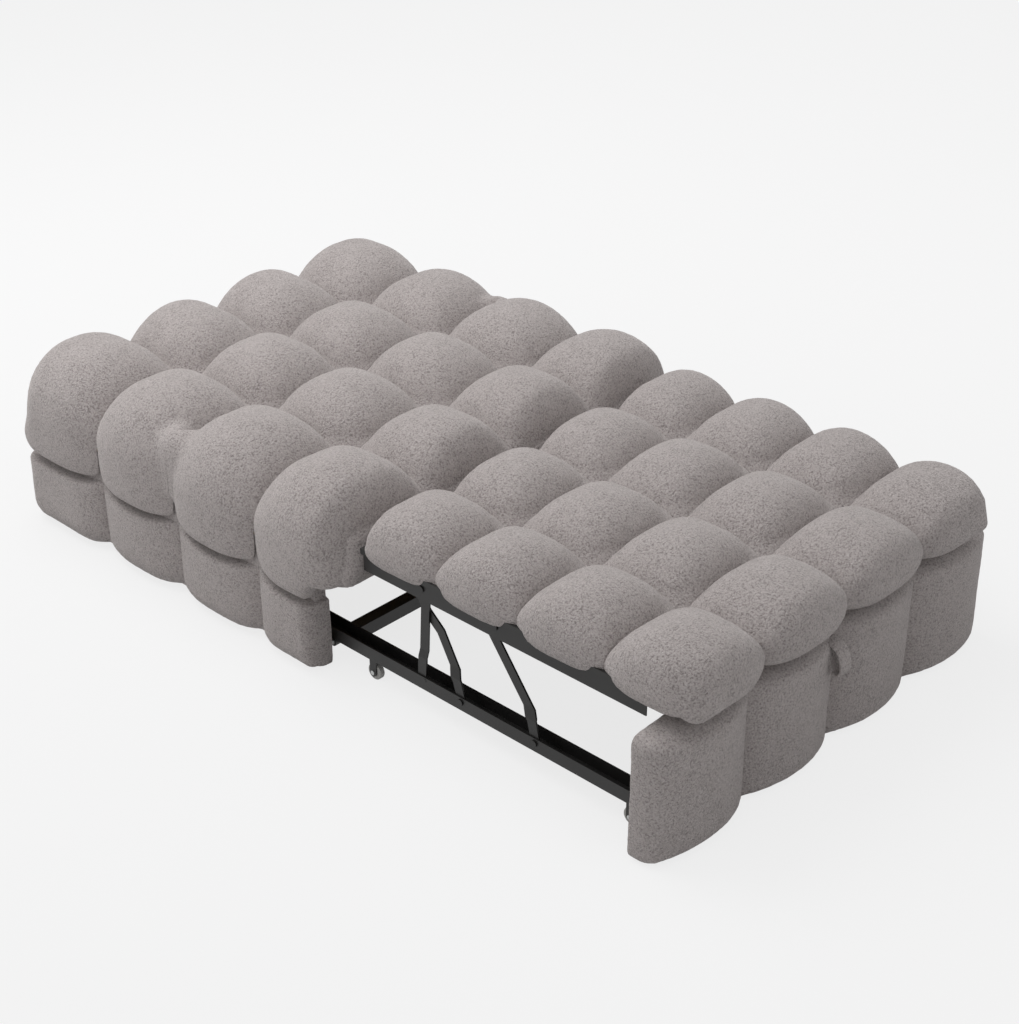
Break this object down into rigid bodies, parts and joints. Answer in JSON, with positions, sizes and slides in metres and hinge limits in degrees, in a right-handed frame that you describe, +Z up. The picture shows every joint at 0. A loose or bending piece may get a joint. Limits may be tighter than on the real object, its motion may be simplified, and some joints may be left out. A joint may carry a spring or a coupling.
{
  "type": "pull-out sofa bed",
  "caption": "Armless sofa bed opened flat: tufted seat and hinged backrest on a base, with a rolling pull-out section raised level with the seat on linked arms.",
  "frame": {"origin": "on the floor, at the centre of the opened bed's footprint", "axes": "+Z up, +Y along the bed towards the backrest end, +X to the right seen from the pull-out end"},
  "size_m": [1.0916, 1.9161, 0.4373],
  "materials": {
    "cover": "matte",
    "strap": "matte",
    "timber": "satin",
    "black_board": "satin",
    "black_steel": "satin",
    "plain_steel": "satin",
    "grey_plastic": "matte",
    "black_plastic": "matte"
  },
  "bodies": {
    "base": {"base_side_board_left": "timber", "base_side_board_right": "timber", "base_back_board": "timber", "base_corner_blocks": "timber", "base_feet": "black_plastic", "base_side_padding_left": "cover", "base_side_padding_right": "cover", "base_back_padding": "cover", "seat_deck": "timber", "seat_cushion": "cover", "hinge_fixed_leaves": "plain_steel", "hinge_pins": "plain_steel", "hinge_seat_screws": "plain_steel", "guide_axles": "plain_steel"},
    "backrest": {"backrest_board": "timber", "backrest_cushion": "cover", "hinge_moving_leaves": "plain_steel", "hinge_backrest_screws": "plain_steel"},
    "pullout_frame": {"lower_rail_left": "black_steel", "lower_rail_right": "black_steel", "lower_cross_bar_front": "black_steel", "lower_cross_bar_rear": "black_steel", "rail_end_caps": "black_plastic", "front_panel_board": "timber", "front_panel_padding": "cover", "panel_brackets": "black_steel", "panel_screws": "plain_steel", "pull_strap": "strap", "caster_forks": "black_steel", "caster_axles": "plain_steel", "lower_pivot_bolts": "black_steel", "prop_stop_pins": "black_steel"},
    "rear_lift_arms": {"rear_lift_arm_left": "black_steel", "rear_lift_arm_right": "black_steel", "rear_arm_cross_tube": "black_steel"},
    "front_lift_arms": {"front_lift_arm_left": "black_steel", "front_lift_arm_right": "black_steel", "front_arm_cross_tube": "black_steel"},
    "platform": {"platform_rail_left": "black_steel", "platform_rail_right": "black_steel", "platform_cross_bar_front": "black_steel", "platform_cross_bar_middle": "black_steel", "platform_cross_bar_rear": "black_steel", "platform_deck": "black_board", "platform_deck_screws": "plain_steel", "pullout_cushion": "cover", "upper_pivot_bolts": "black_steel"},
    "prop_left": {"prop_left": "black_steel"},
    "prop_right": {"prop_right": "black_steel"},
    "caster_wheel_front_left": {"caster_wheel_front_left": "grey_plastic"},
    "caster_wheel_rear_left": {"caster_wheel_rear_left": "grey_plastic"},
    "guide_roller_front_left": {"guide_roller_front_left": "black_plastic"},
    "guide_roller_rear_left": {"guide_roller_rear_left": "black_plastic"},
    "caster_wheel_front_right": {"caster_wheel_front_right": "grey_plastic"},
    "caster_wheel_rear_right": {"caster_wheel_rear_right": "grey_plastic"},
    "guide_roller_front_right": {"guide_roller_front_right": "black_plastic"},
    "guide_roller_rear_right": {"guide_roller_rear_right": "black_plastic"}
  },
  "joints": [
    {"name": "platform_lower", "type": "hinge", "parent": "pullout_frame", "child": "rear_lift_arms", "pos_m": [0, -0.3845, 0.073], "axis": [-1, 0, 0], "range_deg": [0, 56]},
    {"name": "platform_level", "type": "hinge", "parent": "rear_lift_arms", "child": "platform", "pos_m": [0, -0.2895, 0.288], "axis": [-1, 0, 0], "range_deg": [-56, 0]},
    {"name": "front_arms_swing", "type": "hinge", "parent": "pullout_frame", "child": "front_lift_arms", "pos_m": [0, -0.5755, 0.073], "axis": [-1, 0, 0], "range_deg": [0, 56]},
    {"name": "pullout_slide", "type": "slide", "parent": "base", "child": "pullout_frame", "axis": [0, -1, 0], "range_m": [0, 0.2103]},
    {"name": "backrest_recline", "type": "hinge", "parent": "base", "child": "backrest", "pos_m": [0, 0.4075, 0.356], "axis": [1, 0, 0], "range_deg": [0, 75]},
    {"name": "prop_fold_left", "type": "hinge", "parent": "platform", "child": "prop_left", "pos_m": [-0.441, -0.2895, 0.288], "axis": [1, 0, 0], "range_deg": [0, 82]},
    {"name": "prop_fold_right", "type": "hinge", "parent": "platform", "child": "prop_right", "pos_m": [0.441, -0.2895, 0.288], "axis": [1, 0, 0], "range_deg": [0, 82]},
    {"name": "caster_wheel_front_left_turn", "type": "hinge", "parent": "pullout_frame", "child": "caster_wheel_front_left", "pos_m": [-0.441, -0.7995, 0.018], "axis": [1, 0, 0], "continuous": true},
    {"name": "caster_wheel_rear_left_turn", "type": "hinge", "parent": "pullout_frame", "child": "caster_wheel_rear_left", "pos_m": [-0.441, -0.1285, 0.018], "axis": [1, 0, 0], "continuous": true},
    {"name": "guide_roller_front_left_turn", "type": "hinge", "parent": "base", "child": "guide_roller_front_left", "pos_m": [-0.441, -0.0145, 0.0437], "axis": [1, 0, 0], "continuous": true},
    {"name": "guide_roller_rear_left_turn", "type": "hinge", "parent": "base", "child": "guide_roller_rear_left", "pos_m": [-0.441, 0.0155, 0.0437], "axis": [1, 0, 0], "continuous": true},
    {"name": "caster_wheel_front_right_turn", "type": "hinge", "parent": "pullout_frame", "child": "caster_wheel_front_right", "pos_m": [0.441, -0.7995, 0.018], "axis": [1, 0, 0], "continuous": true},
    {"name": "caster_wheel_rear_right_turn", "type": "hinge", "parent": "pullout_frame", "child": "caster_wheel_rear_right", "pos_m": [0.441, -0.1285, 0.018], "axis": [1, 0, 0], "continuous": true},
    {"name": "guide_roller_front_right_turn", "type": "hinge", "parent": "base", "child": "guide_roller_front_right", "pos_m": [0.441, -0.0145, 0.0437], "axis": [1, 0, 0], "continuous": true},
    {"name": "guide_roller_rear_right_turn", "type": "hinge", "parent": "base", "child": "guide_roller_rear_right", "pos_m": [0.441, 0.0155, 0.0437], "axis": [1, 0, 0], "continuous": true}
  ],
  "couplings": [
    {"joint": "platform_level", "follows": "platform_lower", "ratio": -1},
    {"joint": "front_arms_swing", "follows": "platform_lower", "ratio": 1},
    {"joint": "pullout_slide", "follows": "platform_lower", "m_per_rad": 0.2151},
    {"joint": "prop_fold_left", "follows": "platform_lower", "ratio": 1.45},
    {"joint": "prop_fold_right", "follows": "platform_lower", "ratio": 1.45}
  ]
}
